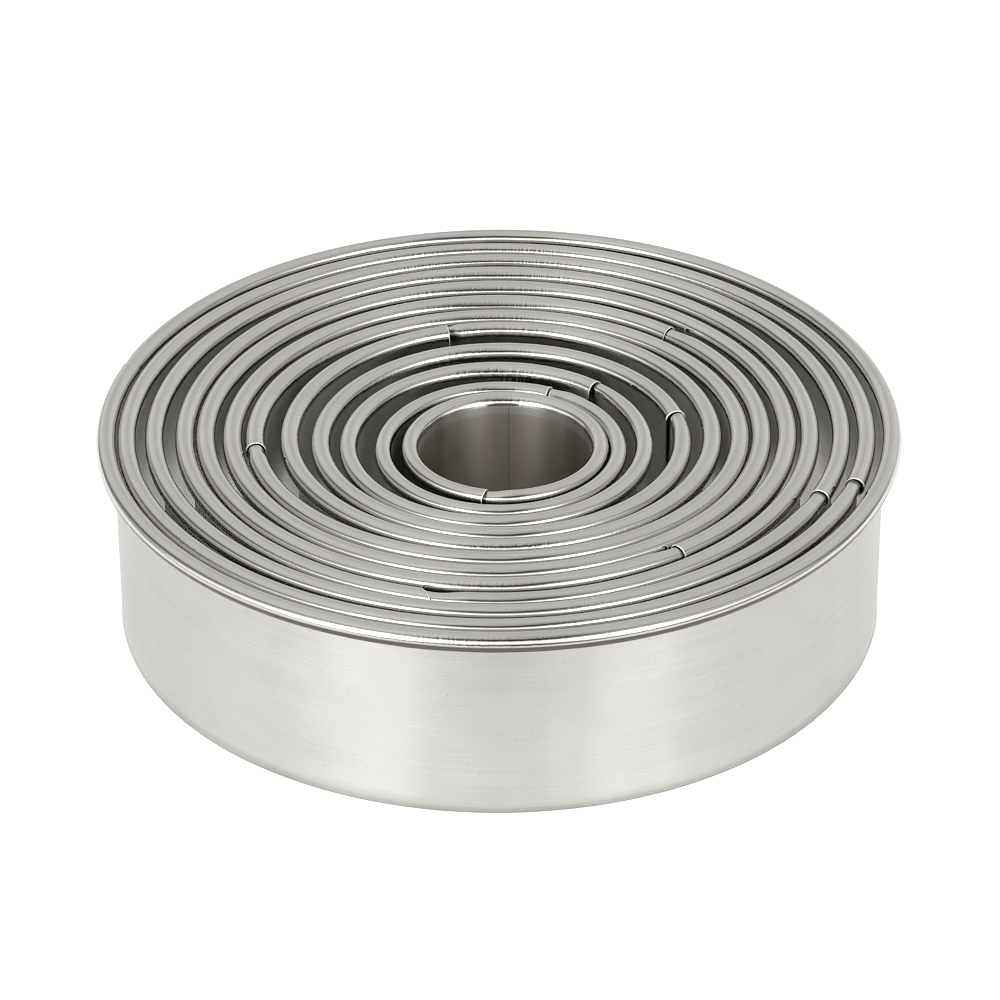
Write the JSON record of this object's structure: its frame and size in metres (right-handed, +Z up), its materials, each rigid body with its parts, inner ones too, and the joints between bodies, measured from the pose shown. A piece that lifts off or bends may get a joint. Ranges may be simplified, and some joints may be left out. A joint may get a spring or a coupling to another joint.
{
  "type": "biscuit cutter set",
  "caption": "Nested round pastry cutters: thin steel strip rings with an outward rolled bead on top, a lapped seam and a plain lower cutting edge; each ring lifts out.",
  "frame": {"origin": "on the axis of the largest cutter, on the surface the cutting edges stand on", "axes": "+Z up, from the cutting edges to the rolled beads; -Y is the side the smaller cutters are pushed towards"},
  "size_m": [0.115, 0.115, 0.03],
  "materials": {
    "stainless_steel": "satin rolled stainless strip with a polished bead"
  },
  "bodies": {
    "cutter_01_largest": {"cutter_01_largest": "stainless_steel"},
    "cutter_02": {"cutter_02": "stainless_steel"},
    "cutter_03": {"cutter_03": "stainless_steel"},
    "cutter_04": {"cutter_04": "stainless_steel"},
    "cutter_05": {"cutter_05": "stainless_steel"},
    "cutter_06": {"cutter_06": "stainless_steel"},
    "cutter_07": {"cutter_07": "stainless_steel"},
    "cutter_08": {"cutter_08": "stainless_steel"},
    "cutter_09": {"cutter_09": "stainless_steel"},
    "cutter_10": {"cutter_10": "stainless_steel"},
    "cutter_11": {"cutter_11": "stainless_steel"},
    "cutter_12_smallest": {"cutter_12_smallest": "stainless_steel"}
  },
  "joints": [
    {"name": "cutter_02_lift", "type": "slide", "parent": "cutter_01_largest", "child": "cutter_02", "axis": [0, 0, 1], "range_m": [0, 0.036]},
    {"name": "cutter_03_lift", "type": "slide", "parent": "cutter_01_largest", "child": "cutter_03", "axis": [0, 0, 1], "range_m": [0, 0.036]},
    {"name": "cutter_04_lift", "type": "slide", "parent": "cutter_01_largest", "child": "cutter_04", "axis": [0, 0, 1], "range_m": [0, 0.036]},
    {"name": "cutter_05_lift", "type": "slide", "parent": "cutter_01_largest", "child": "cutter_05", "axis": [0, 0, 1], "range_m": [0, 0.036]},
    {"name": "cutter_06_lift", "type": "slide", "parent": "cutter_01_largest", "child": "cutter_06", "axis": [0, 0, 1], "range_m": [0, 0.036]},
    {"name": "cutter_07_lift", "type": "slide", "parent": "cutter_01_largest", "child": "cutter_07", "axis": [0, 0, 1], "range_m": [0, 0.036]},
    {"name": "cutter_08_lift", "type": "slide", "parent": "cutter_01_largest", "child": "cutter_08", "axis": [0, 0, 1], "range_m": [0, 0.036]},
    {"name": "cutter_09_lift", "type": "slide", "parent": "cutter_01_largest", "child": "cutter_09", "axis": [0, 0, 1], "range_m": [0, 0.036]},
    {"name": "cutter_10_lift", "type": "slide", "parent": "cutter_01_largest", "child": "cutter_10", "axis": [0, 0, 1], "range_m": [0, 0.036]},
    {"name": "cutter_11_lift", "type": "slide", "parent": "cutter_01_largest", "child": "cutter_11", "axis": [0, 0, 1], "range_m": [0, 0.036]},
    {"name": "cutter_12_smallest_lift", "type": "slide", "parent": "cutter_01_largest", "child": "cutter_12_smallest", "axis": [0, 0, 1], "range_m": [0, 0.036]}
  ]
}
